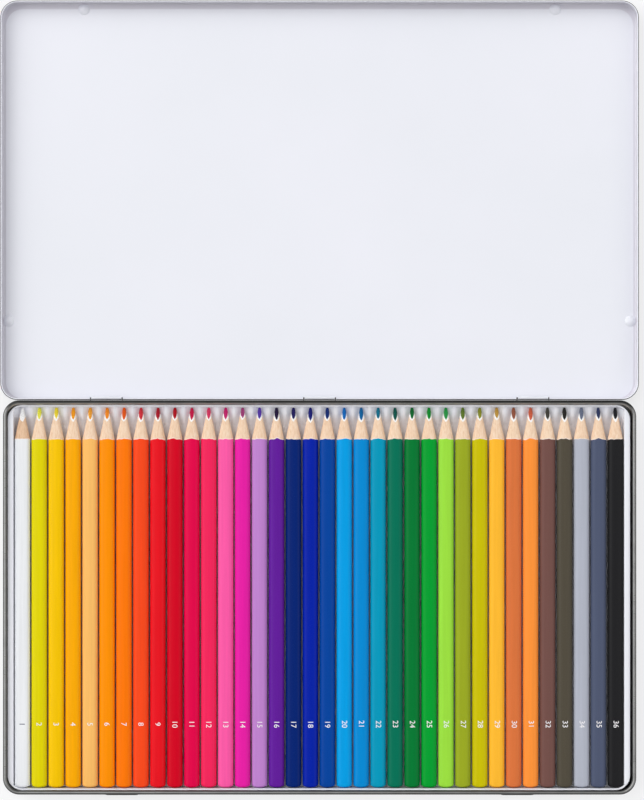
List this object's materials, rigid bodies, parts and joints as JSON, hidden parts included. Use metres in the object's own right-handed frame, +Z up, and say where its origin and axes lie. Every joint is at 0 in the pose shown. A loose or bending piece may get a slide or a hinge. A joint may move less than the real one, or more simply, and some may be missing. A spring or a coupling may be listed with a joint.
{
  "type": "colored pencil tin",
  "caption": "Flat hinged metal tin, shown open, with a ribbed plastic tray that holds one row of sharpened colored pencils.",
  "frame": {"origin": "centre of the base's underside, on the surface that the tin lies on", "axes": "+Z up, +Y from the base's front wall towards the hinges and the open lid, +X to the right as seen by the user in front of the tin"},
  "size_m": [0.2944, 0.3657, 0.0135],
  "materials": {
    "base_shell": "bare tinplate, satin",
    "lid_shell": "white enamel inside, bare tinplate outside",
    "pencil_tray": "thin formed white sheet",
    "pencil_white": "glossy lacquer on wood",
    "pencil_lemon": "glossy lacquer on wood",
    "pencil_yellow": "glossy lacquer on wood",
    "pencil_sun_yellow": "glossy lacquer on wood",
    "pencil_peach": "glossy lacquer on wood",
    "pencil_light_orange": "glossy lacquer on wood",
    "pencil_orange": "glossy lacquer on wood",
    "pencil_vermilion": "glossy lacquer on wood",
    "pencil_scarlet": "glossy lacquer on wood",
    "pencil_crimson": "glossy lacquer on wood",
    "pencil_raspberry": "glossy lacquer on wood",
    "pencil_coral": "glossy lacquer on wood",
    "pencil_rose": "glossy lacquer on wood",
    "pencil_magenta": "glossy lacquer on wood",
    "pencil_lilac": "glossy lacquer on wood",
    "pencil_violet": "glossy lacquer on wood",
    "pencil_navy": "glossy lacquer on wood",
    "pencil_ultramarine": "glossy lacquer on wood",
    "pencil_cobalt": "glossy lacquer on wood",
    "pencil_sky_blue": "glossy lacquer on wood",
    "pencil_azure": "glossy lacquer on wood",
    "pencil_turquoise": "glossy lacquer on wood",
    "pencil_sea_green": "glossy lacquer on wood",
    "pencil_leaf_green": "glossy lacquer on wood",
    "pencil_green": "glossy lacquer on wood",
    "pencil_lime": "glossy lacquer on wood",
    "pencil_olive": "glossy lacquer on wood",
    "pencil_mustard": "glossy lacquer on wood",
    "pencil_ochre": "glossy lacquer on wood",
    "pencil_terracotta": "glossy lacquer on wood",
    "pencil_amber": "glossy lacquer on wood",
    "pencil_brown": "glossy lacquer on wood",
    "pencil_umber": "glossy lacquer on wood",
    "pencil_grey": "glossy lacquer on wood",
    "pencil_slate": "glossy lacquer on wood",
    "pencil_black": "glossy lacquer on wood"
  },
  "bodies": {
    "base": {"base_shell": "base_shell"},
    "lid": {"lid_shell": "lid_shell"},
    "tray": {"pencil_tray": "pencil_tray"},
    "pencil_white": {"pencil_white": "pencil_white"},
    "pencil_lemon": {"pencil_lemon": "pencil_lemon"},
    "pencil_yellow": {"pencil_yellow": "pencil_yellow"},
    "pencil_sun_yellow": {"pencil_sun_yellow": "pencil_sun_yellow"},
    "pencil_peach": {"pencil_peach": "pencil_peach"},
    "pencil_light_orange": {"pencil_light_orange": "pencil_light_orange"},
    "pencil_orange": {"pencil_orange": "pencil_orange"},
    "pencil_vermilion": {"pencil_vermilion": "pencil_vermilion"},
    "pencil_scarlet": {"pencil_scarlet": "pencil_scarlet"},
    "pencil_crimson": {"pencil_crimson": "pencil_crimson"},
    "pencil_raspberry": {"pencil_raspberry": "pencil_raspberry"},
    "pencil_coral": {"pencil_coral": "pencil_coral"},
    "pencil_rose": {"pencil_rose": "pencil_rose"},
    "pencil_magenta": {"pencil_magenta": "pencil_magenta"},
    "pencil_lilac": {"pencil_lilac": "pencil_lilac"},
    "pencil_violet": {"pencil_violet": "pencil_violet"},
    "pencil_navy": {"pencil_navy": "pencil_navy"},
    "pencil_ultramarine": {"pencil_ultramarine": "pencil_ultramarine"},
    "pencil_cobalt": {"pencil_cobalt": "pencil_cobalt"},
    "pencil_sky_blue": {"pencil_sky_blue": "pencil_sky_blue"},
    "pencil_azure": {"pencil_azure": "pencil_azure"},
    "pencil_turquoise": {"pencil_turquoise": "pencil_turquoise"},
    "pencil_sea_green": {"pencil_sea_green": "pencil_sea_green"},
    "pencil_leaf_green": {"pencil_leaf_green": "pencil_leaf_green"},
    "pencil_green": {"pencil_green": "pencil_green"},
    "pencil_lime": {"pencil_lime": "pencil_lime"},
    "pencil_olive": {"pencil_olive": "pencil_olive"},
    "pencil_mustard": {"pencil_mustard": "pencil_mustard"},
    "pencil_ochre": {"pencil_ochre": "pencil_ochre"},
    "pencil_terracotta": {"pencil_terracotta": "pencil_terracotta"},
    "pencil_amber": {"pencil_amber": "pencil_amber"},
    "pencil_brown": {"pencil_brown": "pencil_brown"},
    "pencil_umber": {"pencil_umber": "pencil_umber"},
    "pencil_grey": {"pencil_grey": "pencil_grey"},
    "pencil_slate": {"pencil_slate": "pencil_slate"},
    "pencil_black": {"pencil_black": "pencil_black"}
  },
  "joints": [
    {"name": "lid_hinge", "type": "hinge", "parent": "base", "child": "lid", "pos_m": [0, 0.09145, 0.00754], "axis": [-1, 0, 0], "range_deg": [-180, 0]},
    {"name": "tray_lift", "type": "slide", "parent": "base", "child": "tray", "axis": [0, 0, 1], "range_m": [0, 0.025]},
    {"name": "white_lift", "type": "slide", "parent": "tray", "child": "pencil_white", "axis": [0, 0, 1], "range_m": [0, 0.02]},
    {"name": "lemon_lift", "type": "slide", "parent": "tray", "child": "pencil_lemon", "axis": [0, 0, 1], "range_m": [0, 0.02]},
    {"name": "yellow_lift", "type": "slide", "parent": "tray", "child": "pencil_yellow", "axis": [0, 0, 1], "range_m": [0, 0.02]},
    {"name": "sun_yellow_lift", "type": "slide", "parent": "tray", "child": "pencil_sun_yellow", "axis": [0, 0, 1], "range_m": [0, 0.02]},
    {"name": "peach_lift", "type": "slide", "parent": "tray", "child": "pencil_peach", "axis": [0, 0, 1], "range_m": [0, 0.02]},
    {"name": "light_orange_lift", "type": "slide", "parent": "tray", "child": "pencil_light_orange", "axis": [0, 0, 1], "range_m": [0, 0.02]},
    {"name": "orange_lift", "type": "slide", "parent": "tray", "child": "pencil_orange", "axis": [0, 0, 1], "range_m": [0, 0.02]},
    {"name": "vermilion_lift", "type": "slide", "parent": "tray", "child": "pencil_vermilion", "axis": [0, 0, 1], "range_m": [0, 0.02]},
    {"name": "scarlet_lift", "type": "slide", "parent": "tray", "child": "pencil_scarlet", "axis": [0, 0, 1], "range_m": [0, 0.02]},
    {"name": "crimson_lift", "type": "slide", "parent": "tray", "child": "pencil_crimson", "axis": [0, 0, 1], "range_m": [0, 0.02]},
    {"name": "raspberry_lift", "type": "slide", "parent": "tray", "child": "pencil_raspberry", "axis": [0, 0, 1], "range_m": [0, 0.02]},
    {"name": "coral_lift", "type": "slide", "parent": "tray", "child": "pencil_coral", "axis": [0, 0, 1], "range_m": [0, 0.02]},
    {"name": "rose_lift", "type": "slide", "parent": "tray", "child": "pencil_rose", "axis": [0, 0, 1], "range_m": [0, 0.02]},
    {"name": "magenta_lift", "type": "slide", "parent": "tray", "child": "pencil_magenta", "axis": [0, 0, 1], "range_m": [0, 0.02]},
    {"name": "lilac_lift", "type": "slide", "parent": "tray", "child": "pencil_lilac", "axis": [0, 0, 1], "range_m": [0, 0.02]},
    {"name": "violet_lift", "type": "slide", "parent": "tray", "child": "pencil_violet", "axis": [0, 0, 1], "range_m": [0, 0.02]},
    {"name": "navy_lift", "type": "slide", "parent": "tray", "child": "pencil_navy", "axis": [0, 0, 1], "range_m": [0, 0.02]},
    {"name": "ultramarine_lift", "type": "slide", "parent": "tray", "child": "pencil_ultramarine", "axis": [0, 0, 1], "range_m": [0, 0.02]},
    {"name": "cobalt_lift", "type": "slide", "parent": "tray", "child": "pencil_cobalt", "axis": [0, 0, 1], "range_m": [0, 0.02]},
    {"name": "sky_blue_lift", "type": "slide", "parent": "tray", "child": "pencil_sky_blue", "axis": [0, 0, 1], "range_m": [0, 0.02]},
    {"name": "azure_lift", "type": "slide", "parent": "tray", "child": "pencil_azure", "axis": [0, 0, 1], "range_m": [0, 0.02]},
    {"name": "turquoise_lift", "type": "slide", "parent": "tray", "child": "pencil_turquoise", "axis": [0, 0, 1], "range_m": [0, 0.02]},
    {"name": "sea_green_lift", "type": "slide", "parent": "tray", "child": "pencil_sea_green", "axis": [0, 0, 1], "range_m": [0, 0.02]},
    {"name": "leaf_green_lift", "type": "slide", "parent": "tray", "child": "pencil_leaf_green", "axis": [0, 0, 1], "range_m": [0, 0.02]},
    {"name": "green_lift", "type": "slide", "parent": "tray", "child": "pencil_green", "axis": [0, 0, 1], "range_m": [0, 0.02]},
    {"name": "lime_lift", "type": "slide", "parent": "tray", "child": "pencil_lime", "axis": [0, 0, 1], "range_m": [0, 0.02]},
    {"name": "olive_lift", "type": "slide", "parent": "tray", "child": "pencil_olive", "axis": [0, 0, 1], "range_m": [0, 0.02]},
    {"name": "mustard_lift", "type": "slide", "parent": "tray", "child": "pencil_mustard", "axis": [0, 0, 1], "range_m": [0, 0.02]},
    {"name": "ochre_lift", "type": "slide", "parent": "tray", "child": "pencil_ochre", "axis": [0, 0, 1], "range_m": [0, 0.02]},
    {"name": "terracotta_lift", "type": "slide", "parent": "tray", "child": "pencil_terracotta", "axis": [0, 0, 1], "range_m": [0, 0.02]},
    {"name": "amber_lift", "type": "slide", "parent": "tray", "child": "pencil_amber", "axis": [0, 0, 1], "range_m": [0, 0.02]},
    {"name": "brown_lift", "type": "slide", "parent": "tray", "child": "pencil_brown", "axis": [0, 0, 1], "range_m": [0, 0.02]},
    {"name": "umber_lift", "type": "slide", "parent": "tray", "child": "pencil_umber", "axis": [0, 0, 1], "range_m": [0, 0.02]},
    {"name": "grey_lift", "type": "slide", "parent": "tray", "child": "pencil_grey", "axis": [0, 0, 1], "range_m": [0, 0.02]},
    {"name": "slate_lift", "type": "slide", "parent": "tray", "child": "pencil_slate", "axis": [0, 0, 1], "range_m": [0, 0.02]},
    {"name": "black_lift", "type": "slide", "parent": "tray", "child": "pencil_black", "axis": [0, 0, 1], "range_m": [0, 0.02]}
  ]
}
